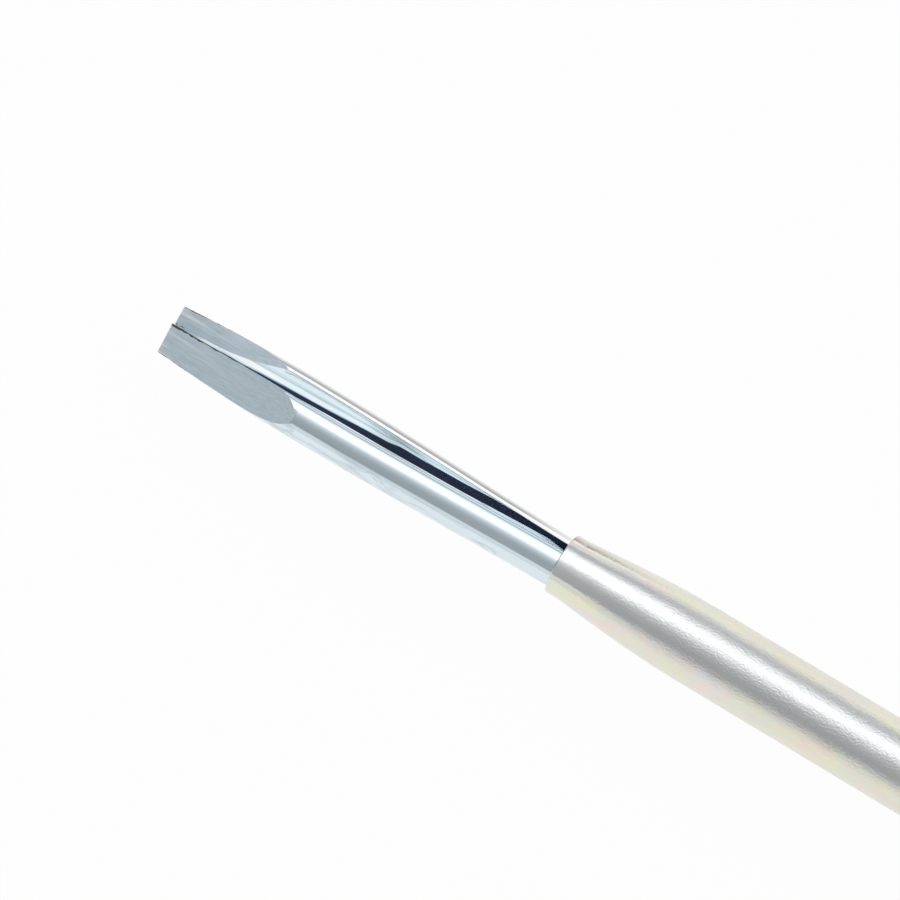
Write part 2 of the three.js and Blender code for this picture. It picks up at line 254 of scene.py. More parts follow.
def addBump(tree, shader, height, distance):
    node = addNode(tree, "ShaderNodeBump", Height=height, Distance=distance, Strength=1.0)
    tree.links.new(node.outputs["Normal"], shader.inputs["Normal"])


def startMaterial(name):
    material = bpy.data.materials.new(name)
    material.use_nodes = True
    tree = material.node_tree
    shader = next(node for node in tree.nodes if node.type == "BSDF_PRINCIPLED")
    return material, tree, shader, objectPlace(tree)


# roughness is a (low, high) pair that a noise picks from
def setSurface(tree, shader, colour, noise, roughness):
    tree.links.new(colour, shader.inputs["Base Color"])
    tree.links.new(addRange(tree, noise, *noiseSpan, *roughness), shader.inputs["Roughness"])


def setMetal(tree, shader, colour, noise, look, lines):
    setSurface(tree, shader, colour, noise, look["roughness"])
    shader.inputs["Metallic"].default_value = 1
    addBump(tree, shader, lines, look["lineHeight"])


def blendShaders(tree, outputType, factor, first, second):
    blend = addNode(tree, "ShaderNodeMixShader", Fac=factor)
    output = next(node for node in tree.nodes if node.type == outputType)
    tree.links.new(first.outputs[0], blend.inputs[1])
    tree.links.new(second.outputs[0], blend.inputs[2])
    tree.links.new(blend.outputs[0], output.inputs["Surface"])


def startGroup(name, inputs, outputs):
    tree = bpy.data.node_groups.new(name, "ShaderNodeTree")
    tree.interface.new_socket("Place", in_out="INPUT", socket_type="NodeSocketVector")
    for label, value in inputs.items():
        kind = "NodeSocketFloat" if isinstance(value, float) else "NodeSocketVector"
        tree.interface.new_socket(label, in_out="INPUT", socket_type=kind).default_value = value
    for label in outputs:
        tree.interface.new_socket(label, in_out="OUTPUT", socket_type="NodeSocketFloat")
    return tree, tree.nodes.new("NodeGroupInput").outputs, tree.nodes.new("NodeGroupOutput").inputs


def useGroup(tree, group, place, **values):
    return addNode(tree, "ShaderNodeGroup", node_tree=group, Place=place, **values).outputs


# shared effects

toolMarks = {
    "fine": {"Scale": 1.0, "Detail": 5.0, "Roughness": 0.65},
    "broad": {"Scale": 0.23, "Detail": 2.0, "Roughness": 0.5},
    "middle": 0.5, "streakSpan": (0.54, 0.7),
}


# lines drawn out along one direction: grinding, drawing and turning marks
def makeToolLines():
    tree, given, result = startGroup(
        "toolLines", {"Stretch": (60, 4000, 4000), "Contrast": 0.5}, ("Lines", "Streaks"))
    scaled = addNode(tree, "ShaderNodeVectorMath", operation="MULTIPLY")
    tree.links.new(given["Place"], scaled.inputs[0])
    tree.links.new(given["Stretch"], scaled.inputs[1])
    fine = addNoise(tree, scaled.outputs[0], **toolMarks["fine"])
    broad = addNoise(tree, scaled.outputs[0], **toolMarks["broad"])
    spread = addMath(tree, "SUBTRACT", fine, toolMarks["middle"])
    spread = addMath(tree, "MULTIPLY", spread, given["Contrast"])
    lines = addMath(tree, "ADD", spread, toolMarks["middle"], clamp=True)
    tree.links.new(lines, result["Lines"])
    tree.links.new(addRange(tree, broad, *toolMarks["streakSpan"], 0, 1), result["Streaks"])
    return tree


cloudMarks = {
    "secondOffset": (0.31, 0.17, 0.23), "cloudDetail": 3.0, "grainDetail": 4.0, "roughness": 0.55,
}


# cloudy patches over a fine grain
def makeMottle():
    tree, given, result = startGroup(
        "mottle", {"Patches": 150.0, "Grain": 3000.0}, ("Cloud", "Second Cloud", "Grain"))
    offset = addNode(tree, "ShaderNodeVectorMath", operation="ADD")
    offset.inputs[1].default_value = cloudMarks["secondOffset"]
    tree.links.new(given["Place"], offset.inputs[0])
    for place, size, output, detail in (
            (given["Place"], "Patches", "Cloud", cloudMarks["cloudDetail"]),
            (offset.outputs[0], "Patches", "Second Cloud", cloudMarks["cloudDetail"]),
            (given["Place"], "Grain", "Grain", cloudMarks["grainDetail"])):
        noise = addNoise(tree, place, Scale=given[size], Detail=detail, Roughness=cloudMarks["roughness"])
        tree.links.new(noise, result[output])
    return tree


speckMarks = {"emptyShare": 0.86}


# sparse small pits and specks
def makeSpecks():
    tree, given, result = startGroup("specks", {"Pitch": 700.0, "Size": 0.12}, ("Specks",))
    cells = addNode(tree, "ShaderNodeTexVoronoi", Vector=given["Place"], Scale=given["Pitch"]).outputs
    chosen = addNode(tree, "ShaderNodeSeparateColor", Color=cells["Color"]).outputs[0]
    rare = addMath(tree, "GREATER_THAN", chosen, speckMarks["emptyShare"])
    near = addMath(tree, "LESS_THAN", cells["Distance"], given["Size"])
    tree.links.new(addMath(tree, "MULTIPLY", rare, near), result["Specks"])
    return tree


toolLines = makeToolLines()
mottle = makeMottle()
specks = makeSpecks()
print("shared effects ready")


# finishes

def useLines(tree, place, look):
    return useGroup(tree, toolLines, place, Stretch=look["stretch"], Contrast=look["contrast"])


platedSteel = {
    "colour": (0.79, 0.87, 0.91), "lineColour": (0.67, 0.775, 0.83), "streakColour": (0.64, 0.735, 0.785),
    "speckColour": (0.3, 0.32, 0.34), "smearColour": (0.56, 0.63, 0.67), "sideHighlightColour": (0.97, 0.965, 0.96),
    "roughness": (0.05, 0.13), "stretch": (50, 2600, 2600), "contrast": 1.2, "lineHeight": 0.0012 * mm,
    "speckPitch": 420.0, "speckSize": 0.06, "smearStretch": (150, 620, 620), "smearMiddle": 0.5,
    "smearNoise": {"Scale": 1.0, "Detail": 2.0, "Roughness": 0.5, "Distortion": 0.7},
    "smearWidth": 0.06, "smearSide": (-2.3 * mm, -2.7 * mm), "smearLevel": 0.8,
}


def makePlatedSteel():
    look = platedSteel
    material, tree, shader, place = startMaterial("platedSteel")
    lines = useLines(tree, place, look)
    dots = useGroup(tree, specks, place, Pitch=look["speckPitch"], Size=look["speckSize"])
    colour = addMix(tree, lines["Lines"], look["colour"], look["lineColour"])
    colour = addMix(tree, lines["Streaks"], colour, look["streakColour"])
    # wavy smears that handling has left along one side
    cloud = addNoise(tree, addStretch(tree, place, look["smearStretch"]), **look["smearNoise"])
    ridge = addMath(tree, "ABSOLUTE", addMath(tree, "SUBTRACT", cloud, look["smearMiddle"]))
    smear = addRange(tree, addAxes(tree, place)["Y"], *look["smearSide"], 0, look["smearLevel"])
    smear = addMath(tree, "MULTIPLY", smear, addRange(tree, ridge, 0, look["smearWidth"], 1, 0))
    colour = addMix(tree, smear, colour, look["smearColour"])
    # painted highlight: the upper half's round is lighter and more neutral on its upward side
    colour = addMix(tree, addAttribute(tree, "paintedSideHighlight"), colour, look["sideHighlightColour"])
    colour = addMix(tree, dots["Specks"], colour, look["speckColour"])
    setMetal(tree, shader, colour, lines["Lines"], look, lines["Lines"])
    return material


groundSteel = {
    "colour": (0.63, 0.71, 0.755), "lineColour": (0.76, 0.84, 0.875), "streakColour": (0.95, 0.96, 0.97),
    "burrColour": (0.2, 0.17, 0.13), "roughness": (0.85, 0.72), "stretch": (160, 5200, 5200),
    "contrast": 1.6, "lineHeight": 0.006 * mm, "burrReach": 9 * mm, "burrSpan": (0.35, 0.7),
    "burrWidth": (0.05, 0.2), "burrNoise": {"Scale": 1500.0, "Detail": 3.0},
}


def makeGroundSteel():
    look = groundSteel
    material, tree, shader, place = startMaterial("groundSteel")
    lines = useLines(tree, place, look)
    nearTip = addRange(tree, addAxes(tree, place)["X"], tipX, tipX + look["burrReach"], 1, 0)
    colour = addMix(tree, lines["Lines"], look["colour"], look["lineColour"])
    streaks = addMath(tree, "MULTIPLY", lines["Streaks"], nearTip)
    colour = addMix(tree, streaks, colour, look["streakColour"])
    # brown burr left by the wheel along the edges near the tip
    ragged = addNoise(tree, place, **look["burrNoise"])
    reach = addRange(tree, ragged, *look["burrSpan"], *look["burrWidth"])
    reach = addMath(tree, "MULTIPLY", reach, nearTip)
    burr = addMath(tree, "LESS_THAN", addAttribute(tree, "edgeClear"), reach)
    colour = addMix(tree, burr, colour, look["burrColour"])
    setMetal(tree, shader, colour, lines["Lines"], look, lines["Lines"])
    return material


# the slot face is painted with reflections of the room and the other half, pale blue through teal
# and white, then with a blue-black painted shade deep in the gap
slotSteel = {
    "stops": [
        (0.0, (0.86, 0.93, 0.95)), (0.18, (0.88, 0.95, 0.97)), (0.25, (0.7, 0.83, 0.87)),
        (0.3, (0.5, 0.66, 0.68)), (0.34, (0.98, 0.99, 1.0)), (0.43, (0.98, 0.99, 1.0)),
        (0.465, (0.72, 0.86, 0.92)), (0.488, (0.2, 0.42, 0.62)), (0.505, (0.03, 0.042, 0.095)),
        (1.0, (0.026, 0.038, 0.085)),
    ],
    "shadeFrom": 0.5, "fullScale": 2.0, "drift": (-0.05, 0.05), "farColour": (0.88, 0.94, 0.97),
    "tipShade": (0.62, 0.7, 0.75), "shadeReach": 10 * mm, "darkPatchColour": (0.8, 0.82, 0.83),
    "darkPatchPlace": 24.5 * mm, "darkPatchReach": 3.5 * mm, "roughness": (0.04, 0.1),
    "stretch": (70, 2600, 2600), "contrast": 1.0, "specular": 0.1,
}


def makeSlotSteel():
    look = slotSteel
    material, tree, shader, place = startMaterial("slotSteel")
    lines = useLines(tree, place, look)
    depth = addAttribute(tree, "slotDepth")
    share = addMath(tree, "DIVIDE", depth, addAttribute(tree, "platingReach"))
    share = addMath(tree, "ADD", share, addRange(tree, lines["Lines"], *noiseSpan, *look["drift"]))
    share = addMath(tree, "DIVIDE", share, look["fullScale"])
    far = addMath(tree, "GREATER_THAN", depth, addAttribute(tree, "shadeEnd"))
    colour = addMix(tree, far, addRamp(tree, share, look["stops"]), look["farColour"])
    along = addAxes(tree, place)["X"]
    nearTip = addRange(tree, along, tipX, tipX + look["shadeReach"], 1, 0)
    colour = addMix(tree, nearTip, colour, look["tipShade"], "MULTIPLY")
    # a darker patch across the slot face, 24.5 mm behind the tip
    darkPatch = addMath(tree, "ABSOLUTE", addMath(tree, "SUBTRACT", along, tipX + look["darkPatchPlace"]))
    darkPatch = addRange(tree, darkPatch, 0, look["darkPatchReach"], 1, 0)
    colour = addMix(tree, darkPatch, colour, look["darkPatchColour"], "MULTIPLY")
    setSurface(tree, shader, colour, lines["Lines"], look["roughness"])
    # the blue-black painted shade is matt and not metallic
    shaded = addMath(tree, "GREATER_THAN", share, look["shadeFrom"])
    shaded = addMath(tree, "SUBTRACT", shaded, far, clamp=True)
    tree.links.new(addMath(tree, "SUBTRACT", 1, shaded), shader.inputs["Metallic"])
    shader.inputs["Specular IOR Level"].default_value = look["specular"]
    return material


zincPassivate = {
    "stops": [
        (0.32, (0.82, 0.7, 0.65)), (0.43, (0.81, 0.78, 0.6)), (0.5, (0.74, 0.78, 0.68)),
        (0.57, (0.84, 0.73, 0.65)), (0.68, (0.74, 0.77, 0.76)),
    ],
    "faceColour": (0.88, 0.875, 0.87), "tailColour": (0.755, 0.75, 0.74), "dullColour": (0.72, 0.7, 0.64),
    "pitColour": (0.36, 0.35, 0.33), "pitPitch": 330.0, "pitSize": 0.05, "cloudStretch": (0.45, 1, 1),
    "cloudPitch": 420.0, "dullSpan": (0.45, 0.8), "dullLevel": 0.7, "polishedNose": 15 * mm,
    "noseRoughness": 0.15, "sheenSideTurn": math.radians(-9), "filmSpan": (math.radians(29), math.radians(38)),
    "roughness": (0.06, 0.17), "grainLevel": (0.5, 1), "grainPitch": 5000.0, "grainHeight": 0.042 * mm,
    "dentPitch": 380.0, "dentHeight": 0.05 * mm,
}


def makeZincPassivate():
    look = zincPassivate
    material, tree, shader, place = startMaterial("zincPassivate")
    stretched = addStretch(tree, place, look["cloudStretch"])
    clouds = useGroup(tree, mottle, stretched, Patches=look["cloudPitch"])
    surface = useGroup(tree, mottle, place, Patches=look["dentPitch"], Grain=look["grainPitch"])
    pits = useGroup(tree, specks, place, Pitch=look["pitPitch"], Size=look["pitSize"])
    film = addRamp(tree, clouds["Cloud"], look["stops"])
    dull = addRange(tree, clouds["Second Cloud"], *look["dullSpan"], 0, look["dullLevel"])
    film = addMix(tree, dull, film, look["dullColour"])
    # swaging has rubbed the nose brighter and smoother than the tube behind it
    axes = addAxes(tree, place)
    noseEnd = tubeLow.x + look["polishedNose"]
    rough = addRange(tree, axes["X"], tubeLow.x, noseEnd, look["noseRoughness"], 1)
    face = addMix(tree, rough, look["faceColour"], look["tailColour"])
    # painted sheen: the passivate's tint is left off along one side of the tube, standing in for the
    # film's colour that changes with the angle it is seen at
    turn = addMath(tree, "ARCTAN2", axes["Y"], addMath(tree, "SUBTRACT", axes["Z"], axisZ))
    turn = addMath(tree, "ABSOLUTE", addMath(tree, "SUBTRACT", turn, look["sheenSideTurn"]))
    colour = addMix(tree, addRange(tree, turn, *look["filmSpan"], 0, 1), face, film)
    colour = addMix(tree, pits["Specks"], colour, look["pitColour"])
    tree.links.new(colour, shader.inputs["Base Color"])
    spread = addRange(tree, surface["Grain"], *noiseSpan, *look["grainLevel"])
    spread = addMath(tree, "MULTIPLY", spread, rough)
    tree.links.new(addRange(tree, spread, 0, 1, *look["roughness"]), shader.inputs["Roughness"])
    shader.inputs["Metallic"].default_value = 1
    dents = addMath(tree, "MULTIPLY", surface["Cloud"], look["dentHeight"] / look["grainHeight"])
    height = addMath(tree, "ADD", dents, addMath(tree, "MULTIPLY", surface["Grain"], rough))
    addBump(tree, shader, height, look["grainHeight"])
    return material


turnedAluminium = {
    "colour": (0.76, 0.765, 0.77), "lineColour": (0.62, 0.63, 0.64), "roughness": (0.22, 0.38),
    "stretch": (5200, 40, 40), "contrast": 1.5, "cloudPitch": 260.0, "lineHeight": 0.007 * mm,
}


def makeTurnedAluminium():
    look = turnedAluminium
    material, tree, shader, place = startMaterial("turnedAluminium")
    lines = useLines(tree, place, look)
    clouds = useGroup(tree, mottle, place, Patches=look["cloudPitch"])
    colour = addMix(tree, lines["Lines"], look["lineColour"], look["colour"])
    setMetal(tree, shader, colour, clouds["Cloud"], look, lines["Lines"])
    return material


oiledSteel = {
    "contrast": 1.3, "cloudPitch": 400.0, "grainPitch": 3600.0, "filmSpan": (0.5, 0.75), "filmLevel": 0.6,
    "lineHeight": 0.004 * mm,
}
brightSteel = {
    **oiledSteel, "stretch": (4200, 300, 300), "colour": (0.7, 0.71, 0.72), "shade": (0.54, 0.55, 0.56),
    "film": (0.5, 0.48, 0.44), "roughness": (0.2, 0.34),
}
springSteel = {
    **oiledSteel, "stretch": (300, 3600, 3600), "colour": (0.3, 0.31, 0.33), "shade": (0.2, 0.21, 0.23),
    "film": (0.13, 0.13, 0.15), "roughness": (0.26, 0.42),
}


def makeOiledSteel(name, look):
    material, tree, shader, place = startMaterial(name)
    lines = useLines(tree, place, look)
    clouds = useGroup(tree, mottle, place, Patches=look["cloudPitch"], Grain=look["grainPitch"])
    colour = addMix(tree, lines["Lines"], look["shade"], look["colour"])
    film = addRange(tree, clouds["Cloud"], *look["filmSpan"], 0, look["filmLevel"])
    colour = addMix(tree, film, colour, look["film"])
    setMetal(tree, shader, colour, clouds["Grain"], look, lines["Lines"])
    return material


handlePlastic = {
    "colour": (0.46, 0.042, 0.026), "deepColour": (0.4, 0.032, 0.021), "cloudSpan": (0.35, 0.65),
    "roughness": (0.07, 0.15), "rubbedRoughness": 0.26, "rubStretch": (140, 1400, 1400), "rubContrast": 1.4,
    "cloudPitch": 60.0, "grainPitch": 900.0, "grainHeight": 0.006 * mm, "ior": 1.49, "coat": 0.4,
}


def makeHandlePlastic():
    look = handlePlastic
    material, tree, shader, place = startMaterial("handlePlastic")
    clouds = useGroup(tree, mottle, place, Patches=look["cloudPitch"], Grain=look["grainPitch"])
    rubs = useGroup(tree, toolLines, place, Stretch=look["rubStretch"], Contrast=look["rubContrast"])
    deep = addRange(tree, clouds["Cloud"], *look["cloudSpan"], 0, 1)
    tree.links.new(addMix(tree, deep, look["colour"], look["deepColour"]), shader.inputs["Base Color"])
    gloss = addRange(tree, clouds["Second Cloud"], *look["cloudSpan"], *look["roughness"])
    scuffs = addMath(tree, "MULTIPLY", rubs["Streaks"], look["rubbedRoughness"] - look["roughness"][1])
    tree.links.new(addMath(tree, "ADD", gloss, scuffs), shader.inputs["Roughness"])
    shader.inputs["IOR"].default_value = look["ior"]
    shader.inputs["Coat Weight"].default_value = look["coat"]
    addBump(tree, shader, clouds["Grain"], look["grainHeight"])
    return material


gripPlastic = {
    "colour": (0.03, 0.03, 0.033), "wornColour": (0.075, 0.075, 0.08), "wornSpan": (0.5, 0.8),
    "roughness": (0.34, 0.52), "cloudPitch": 220.0, "grainPitch": 2600.0, "grainHeight": 0.03 * mm,
}
ringRubber = {
    "colour": (0.028, 0.028, 0.03), "wornColour": (0.07, 0.07, 0.072), "wornSpan": (0.4, 0.7),
    "roughness": (0.6, 0.8), "cloudPitch": 500.0, "grainPitch": 4200.0, "grainHeight": 0.02 * mm,
}


def makeMattBlack(name, look):
    material, tree, shader, place = startMaterial(name)
    clouds = useGroup(tree, mottle, place, Patches=look["cloudPitch"], Grain=look["grainPitch"])
    worn = addRange(tree, clouds["Cloud"], *look["wornSpan"], 0, 1)
    colour = addMix(tree, worn, look["colour"], look["wornColour"])
    setSurface(tree, shader, colour, clouds["Grain"], look["roughness"])
    addBump(tree, shader, clouds["Grain"], look["grainHeight"])
    return material


plated = makePlatedSteel()
ground = makeGroundSteel()
slotFace = makeSlotSteel()
zinc = makeZincPassivate()
aluminium = makeTurnedAluminium()
bright = makeOiledSteel("brightSteel", brightSteel)
spring = makeOiledSteel("springSteel", springSteel)
redPlastic = makeHandlePlastic()
blackPlastic = makeMattBlack("gripPlastic", gripPlastic)
rubber = makeMattBlack("ringRubber", ringRubber)
print("finishes ready")


# blade halves: half-round spring wire, bowed apart, with two hollow-ground flats at the tip

blade = {
    "radius": 2.33 * mm, "rolledEdge": 0.6 * mm, "plainEdge": 0.12 * mm, "edgeSteps": 12, "arcSteps": 84,
    "tipGap": 0.38 * mm, "closedGap": 0.07 * mm, "bowHeight": 0.82 * mm, "bowPeak": 15 * mm,
    "bowRoot": 51 * mm, "station": 0.75 * mm, "tipCorner": 0.2 * mm, "cornerSteps": 4, "sideFacing": 0.5,
    "pinGroove": 1.15 * mm, "grooveSides": 48, "grindLength": 22 * mm, "grindLead": 1 * mm,
    "wheelGrid": (92, 40), "flatFacing": 0.995, "satinFacing": 0.14, "crease": 28,
    "rimBurrFree": 0.05 * mm, "sideHighlightReach": 2 * mm,
}
majorFlat = {
    "tipDepth": 0.56 * mm, "taper": 0.04, "runOut": 9 * mm, "wheelRadius": 19 * mm,
    "tipTurn": 149, "endTurn": 149,
}
minorFlat = {
    "tipDepth": 0.3 * mm, "taper": 0, "runOut": 4.2 * mm, "wheelRadius": 20 * mm,
    "tipTurn": 324, "endTurn": 300,
}
# tables in mm, by distance behind the tip: how deep the painted reflection bands reach into the slot,
# and how much deeper than the gap's width the painted shade goes on
upperBandTable = [
    (0, 2.7), (3.5, 2.45), (5.5, 2.33), (7.4, 2.41), (9.4, 2.36), (11, 2.34), (13.2, 2.28), (15.4, 2.15),
    (19.7, 1.8), (24.2, 1.42), (25.6, 1.06), (28.3, 0.93), (33, 0.57), (36, 0.22), (41, 0.05),
]
lowerBandTable = [(0, 400)]
shadeBeyond = [(0, 1.9), (13, 0.45), (17.5, 0.24), (33, 0.26), (39, 0.085), (45, -0.08)]
lowerSlot = {"side": 1, "plating": lowerBandTable, "burrFree": 0, "sideHighlight": 0}
upperSlot = {"side": -1, "plating": upperBandTable, "burrFree": 0.1 * mm, "sideHighlight": 1}


# half of the gap between the inner flats, x measured behind the tip
def halfGap(x):
    spread = (blade["tipGap"] - blade["closedGap"]) * max(1 - x / (pinX - tipX), 0)
    if x <= blade["bowPeak"]:
        bow = math.sin(x / blade["bowPeak"] * math.pi / 2)
    elif x < blade["bowRoot"]:
        fall = (x - blade["bowPeak"]) / (blade["bowRoot"] - blade["bowPeak"])
        bow = (1 + math.cos(fall * math.pi)) / 2
    else:
        bow = 0
    return blade["closedGap"] + spread + blade["bowHeight"] * bow


def splitDirection(degrees):
    turn = math.radians(degrees)
    return splitNormal * math.cos(turn) + splitTangent * math.sin(turn)


def grindingWheel(flat):
    clearSelection()
    columns, rows = blade["wheelGrid"]
    bpy.ops.mesh.primitive_grid_add(x_subdivisions=columns, y_subdivisions=rows, size=1)
    wheel = namePiece("grindingWheel")
    width = 4 * blade["radius"]
    lead = blade["grindLead"]
    for vertex in wheel.data.vertices:
        x = (vertex.co.x + 0.5) * (blade["grindLength"] + lead) - lead
        runOut = max(x - flat["runOut"], 0) ** 2 / (2 * flat["wheelRadius"])
        depth = flat["tipDepth"] + flat["taper"] * x + runOut
        share = min(max(x / blade["bowPeak"], 0), 1)
        turn = flat["tipTurn"] + (flat["endTurn"] - flat["tipTurn"]) * share
        centre = Vector((tipX + x, 0, axisZ)) - splitNormal * halfGap(max(x, 0))
        across = splitDirection(turn + 90) * width * vertex.co.y
        vertex.co = centre + splitDirection(turn) * depth + across
    bpy.ops.object.mode_set(mode="EDIT")
    bpy.ops.mesh.select_all(action="SELECT")
    away = splitDirection(flat["tipTurn"]) * width
    bpy.ops.mesh.extrude_region_move(TRANSFORM_OT_translate={"value": away})
    closeMesh()
    wheel.data.materials.append(ground)
    return wheel


def bladeStations():
    count = round(blade["bowRoot"] / blade["station"])
    stations = [blade["bowRoot"] * i / count for i in range(count + 1)]
    return [*stations, pinX - tipX, tailX - tipX]


# one slot edge of the wire, from the flat to where its round meets the wire's arc
def slotEdge(size, side):
    radius = blade["radius"]
    centre = math.sqrt(radius ** 2 - 2 * radius * size)
    reach = math.acos(-size / (radius - size))
    points = []
    for i in range(blade["edgeSteps"] + 1):
        turn = reach * i / blade["edgeSteps"]
        points.append((size * (math.cos(turn) - 1), side * (centre + size * math.sin(turn))))
    return points


def bladeSection():
    rolled = slotEdge(blade["rolledEdge"], 1)
    plain = slotEdge(blade["plainEdge"], -1)
    fromTurn = math.atan2(rolled[-1][1], rolled[-1][0])
    toTurn = math.atan2(plain[-1][1], plain[-1][0]) + 2 * math.pi
    arc = []
    for i in range(1, blade["arcSteps"]):
        turn = fromTurn + (toTurn - fromTurn) * i / blade["arcSteps"]
        arc.append((blade["radius"] * math.cos(turn), blade["radius"] * math.sin(turn)))
    start = Vector((tipX, 0, axisZ))
    return [start + splitNormal * n + splitTangent * t for n, t in (*rolled, *arc, *reversed(plain))]


# inner flat, satin rolled edge, and bright plate on all the rest
def plateHalf(half):
    for finish in (plated, slotFace, ground):
        half.data.materials.append(finish)
    for face in half.data.polygons:
        facing = face.normal.dot(splitNormal)
        if facing > blade["flatFacing"]:
            face.material_index = 1
        elif facing > blade["satinFacing"] and face.normal.dot(splitTangent) > 0:
            face.material_index = 2


# the round outer edge of the tip is eased, its ground edges stay sharp
def roundTipCorners(half):
    outer = set()
    for face in half.data.polygons:
        isPlated = half.data.materials[face.material_index] is plated
        if isPlated and abs(face.normal.x) < blade["sideFacing"]:
            outer.update(face.edge_keys)
    pickOnly(half)
    bpy.ops.object.mode_set(mode="EDIT")
    bpy.ops.mesh.select_mode(type="EDGE")
    bpy.ops.mesh.select_all(action="DESELECT")
    bpy.ops.object.mode_set(mode="OBJECT")
    for edge in half.data.edges:
        ends = [half.data.vertices[i].co.x for i in edge.vertices]
        edge.select = edge.key in outer and max(ends) < tipX + mergeGap
    bpy.ops.object.mode_set(mode="EDIT")
    bpy.ops.mesh.bevel(offset=blade["tipCorner"], segments=blade["cornerSteps"], affect="EDGES",
                       clamp_overlap=True)
    bpy.ops.object.mode_set(mode="OBJECT")


def makeLowerHalf():
    half = startOutline("lowerHalf", bladeSection())
    bpy.ops.mesh.edge_face_add()
    bpy.ops.transform.translate(value=-splitNormal * halfGap(0))
    stations = bladeStations()
    for start, end in zip(stations, stations[1:]):
        step = Vector((end - start, 0, 0)) - splitNormal * (halfGap(end) - halfGap(start))
        bpy.ops.mesh.extrude_region_move(TRANSFORM_OT_translate={"value": step})
    closeMesh()
    plateHalf(half)
    for flat in (majorFlat, minorFlat):
        cutWith(half, grindingWheel(flat))
    roundTipCorners(half)
    groove = addCylinder("pinGroove", blade["grooveSides"], blade["pinGroove"], 4 * blade["radius"],
                         (pinX, 0, axisZ), (math.pi / 2 + splitRoll, 0, 0))
    cutWith(half, groove)
    return half


def makeUpperHalf():
    pickOnly(lowerHalf)
    bpy.ops.object.duplicate()
    half = bpy.context.object
    half.name = "upperHalf"
    bpy.ops.transform.rotate(value=math.pi, orient_axis="X", center_override=(0, 0, axisZ))
    bpy.ops.object.transform_apply(location=True, rotation=True, scale=True)
    return half


# where each point lies in the slot and from the edges of the ground flats, in mm, where the painted
# reflection bands and painted shade lie there, and its share of the painted highlight
def measureHalf(half, slot):
    attributes = half.data.attributes
    for name in ("slotDepth", "platingReach", "shadeEnd", "edgeClear", "paintedSideHighlight"):
        attributes.new(name, "FLOAT", "POINT")
    for vertex in half.data.vertices:
        x = vertex.co.x - tipX
        gap = halfGap(x)
        offset = fromAxis(vertex.co) + splitNormal * slot["side"] * gap
        depth = blade["radius"] - offset.dot(splitTangent)
        fromRim = blade["radius"] - offset.length + blade["rimBurrFree"]
        fromSlot = slot["burrFree"] - offset.dot(splitNormal) * slot["side"]
        measures = {
            "slotDepth": depth / mm,
            "platingReach": alongTable(slot["plating"], x / mm),
            "shadeEnd": 2 * gap / mm + alongTable(shadeBeyond, x / mm),
            "edgeClear": max(min(fromRim, fromSlot), 0) / mm,
            "paintedSideHighlight": slot["sideHighlight"] * max(1 - depth / blade["sideHighlightReach"], 0),
        }
        for name, value in measures.items():
            attributes[name].data[vertex.index].value = value


lowerHalf = makeLowerHalf()
upperHalf = makeUpperHalf()
measureHalf(lowerHalf, lowerSlot)
measureHalf(upperHalf, upperSlot)
dress(lowerHalf, "lower_half", "lower_blade_half", blade["crease"])
dress(upperHalf, "upper_half", "upper_blade_half", blade["crease"])
print("blade halves ready")


# sleeve: tube with a swaged nose and a groove for the stop ring

sleeveTube = {
    "wall": 0.9 * mm, "lipWall": 0.33 * mm, "lipLength": 1.3 * mm, "lipRound": 0.16 * mm,
    "mouthChamfer": 0.12 * mm, "noseClearance": 0.13 * mm, "swageLength": 14 * mm, "swageSteps": 40,
    "grooveDepth": 0.4 * mm, "grooveSide": 0.12 * mm, "tailRound": 0.12 * mm, "steps": 180,
    "shadedMouthFacing": -0.9,
}


def swagePoints(fromRadius, toRadius, startX):
    points = []
    for i in range(sleeveTube["swageSteps"] + 1):
        share = i / sleeveTube["swageSteps"]
        rise = (toRadius - fromRadius) * math.sin(share * math.pi / 2)
        points.append((startX + share * sleeveTube["swageLength"], fromRadius + rise))
    return points


def makeSleeveTube():
    mouthX = tubeLow.x
    noseBore = blade["radius"] + halfGap(mouthX - tipX) + sleeveTube["noseClearance"]
    lipRadius = noseBore + sleeveTube["lipWall"]
    lipX = mouthX + sleeveTube["lipLength"]
    lipRound = sleeveTube["lipRound"]
    tailRound = sleeveTube["tailRound"]
    chamfer = sleeveTube["mouthChamfer"]
    ringLow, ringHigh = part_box("stop_ring")
    grooveFrom = ringLow.x - sleeveTube["grooveSide"]
    grooveTo = ringHigh.x + sleeveTube["grooveSide"]
    grooveRadius = tubeRadius - sleeveTube["grooveDepth"]
    bore = tubeRadius - sleeveTube["wall"]
    points = [
        (mouthX, noseBore + chamfer),
        *arcPoints(mouthX + lipRound, lipRadius - lipRound, lipRound, 180, 90),
        *swagePoints(lipRadius, tubeRadius, lipX),
        (grooveFrom, tubeRadius), (grooveFrom, grooveRadius),
        (grooveTo, grooveRadius), (grooveTo, tubeRadius),
        *arcPoints(tubeHigh.x - tailRound, tubeRadius - tailRound, tailRound, 90, 0),
        (tubeHigh.x, bore),
        *reversed(swagePoints(noseBore, bore, lipX)),
        (mouthX + chamfer, noseBore),
        (mouthX, noseBore + chamfer),
    ]
    tube = turnProfile("sleeveTube", points, sleeveTube["steps"])
    tube.data.materials.append(zinc)
    tube.data.materials.append(spring)
    # painted shade: the bore and the front faces of the mouth get dark spring steel
    for face in tube.data.polygons:
        inward = face.normal.dot(fromAxis(face.center)) < 0
        shadedMouth = inward or face.normal.x < sleeveTube["shadedMouthFacing"]
        face.material_index = 1 if shadedMouth and face.center.x < lipX else 0
    return tube


sleeve = makeSleeveTube()
dress(sleeve, "sleeve", "sleeve_tube")
print("sleeve ready")


# finger grip: moulded spool with scallops, and its slotted set screw

